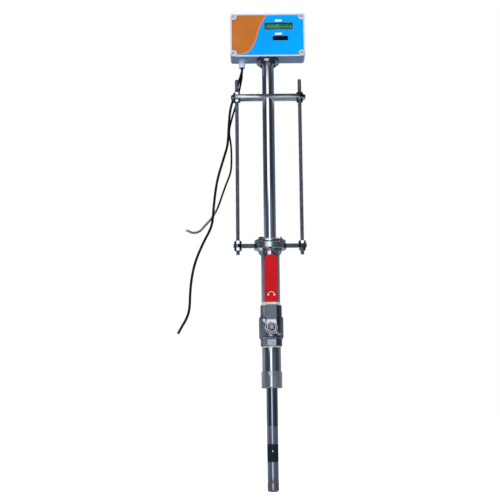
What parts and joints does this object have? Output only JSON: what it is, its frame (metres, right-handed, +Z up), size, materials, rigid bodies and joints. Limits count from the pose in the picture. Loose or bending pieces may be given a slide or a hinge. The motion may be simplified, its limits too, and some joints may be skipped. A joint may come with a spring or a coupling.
{
  "type": "insertion flow meter",
  "caption": "Insertion flow meter: electrode probe on a long stem through a stuffing box and ball valve, guard rods, crossbars and a display head with cables.",
  "frame": {"origin": "centre of the lower face of the pipe coupling", "axes": "+Z up along the stem, the display faces -Y, +X to the right seen from the front"},
  "size_m": [0.345, 0.1056, 1.2541],
  "materials": {
    "cast_steel": "blasted",
    "pipe_steel": "machined",
    "ball_steel": "polished",
    "seal_white": "matt",
    "tape": "matt",
    "plate_steel": "rolled",
    "bolt_steel": "bright",
    "rod_steel": "threaded",
    "strap_steel": "rolled",
    "red_vinyl": "dipped",
    "polished_steel": "mirror",
    "brushed_probe": "brushed",
    "insulator": "matt",
    "electrode": "polished",
    "ferrite": "matt",
    "copper": "wound",
    "black_rubber": "matt",
    "housing": "satin",
    "housing_lid": "satin",
    "screw_cover": "satin",
    "label": "printed",
    "window": "clear",
    "lcd": "lit",
    "board": "coated",
    "key_black": "matt",
    "gland_plastic": "satin",
    "cable_jacket": "matt",
    "cores": "satin"
  },
  "bodies": {
    "valve_frame": {"process_coupling": "pipe_steel", "lower_nipple": "pipe_steel", "valve_end_cap": "cast_steel", "valve_body": "cast_steel", "valve_ball": "ball_steel", "seat_rings": "seal_white", "body_seal": "seal_white", "stem_packing": "seal_white", "packing_nut": "bolt_steel", "thread_tape": "tape", "stuffing_box": "pipe_steel", "packing_rings": "seal_white", "gland_follower": "plate_steel", "follower_bolts": "bolt_steel", "lower_crossbar": "plate_steel", "lower_lock_nuts": "bolt_steel", "guard_rod_left": "rod_steel", "guard_rod_right": "rod_steel"},
    "lever": {"valve_stem": "bolt_steel", "lever_arm": "strap_steel", "lever_sleeve": "red_vinyl", "stem_washer": "bolt_steel", "stem_nut": "bolt_steel"},
    "crossbar": {"upper_crossbar": "plate_steel", "upper_lock_nuts": "bolt_steel"},
    "probe": {"probe_tube": "polished_steel", "stem_sleeve": "polished_steel", "sensor_head_upper": "brushed_probe", "insulator_sleeve": "insulator", "electrodes": "electrode", "sensor_head_lower": "brushed_probe", "end_cap": "brushed_probe", "coil_core": "ferrite", "field_coil": "copper", "sensor_leads": "black_rubber", "head_flange": "plate_steel", "flange_spacer": "black_rubber", "flange_bolts": "bolt_steel", "box_base": "housing", "box_lid": "housing_lid", "lid_gasket": "black_rubber", "lid_screws": "screw_cover", "front_label": "label", "display_window": "window", "lcd_module": "lcd", "circuit_board": "board", "terminal_block": "board", "key_switches": "ferrite", "gland_body": "gland_plastic", "gland_locknut": "gland_plastic", "gland_nut": "gland_plastic", "gland_insert": "black_rubber", "power_cable": "cable_jacket", "signal_cable": "cable_jacket", "signal_cores": "cores"},
    "key_a": {"key_1": "key_black"},
    "key_b": {"key_2": "key_black"},
    "key_c": {"key_3": "key_black"},
    "key_d": {"key_4": "key_black"}
  },
  "joints": [
    {"name": "probe_slide", "type": "slide", "parent": "valve_frame", "child": "probe", "axis": [0, 0, 1], "range_m": [0, 0.443]},
    {"name": "crossbar_slide", "type": "slide", "parent": "valve_frame", "child": "crossbar", "axis": [0, 0, 1], "range_m": [-0.36, 0.02]},
    {"name": "lever_turn", "type": "hinge", "parent": "valve_frame", "child": "lever", "pos_m": [0, 0, 0.152], "axis": [0, 1, 0], "range_deg": [0, 90]},
    {"name": "key_a_press", "type": "slide", "parent": "probe", "child": "key_a", "axis": [0, 1, 0], "range_m": [0, 0.0008], "stiffness_N_per_m": 900, "springref_m": -0.0004},
    {"name": "key_b_press", "type": "slide", "parent": "probe", "child": "key_b", "axis": [0, 1, 0], "range_m": [0, 0.0008], "stiffness_N_per_m": 900, "springref_m": -0.0004},
    {"name": "key_c_press", "type": "slide", "parent": "probe", "child": "key_c", "axis": [0, 1, 0], "range_m": [0, 0.0008], "stiffness_N_per_m": 900, "springref_m": -0.0004},
    {"name": "key_d_press", "type": "slide", "parent": "probe", "child": "key_d", "axis": [0, 1, 0], "range_m": [0, 0.0008], "stiffness_N_per_m": 900, "springref_m": -0.0004}
  ]
}
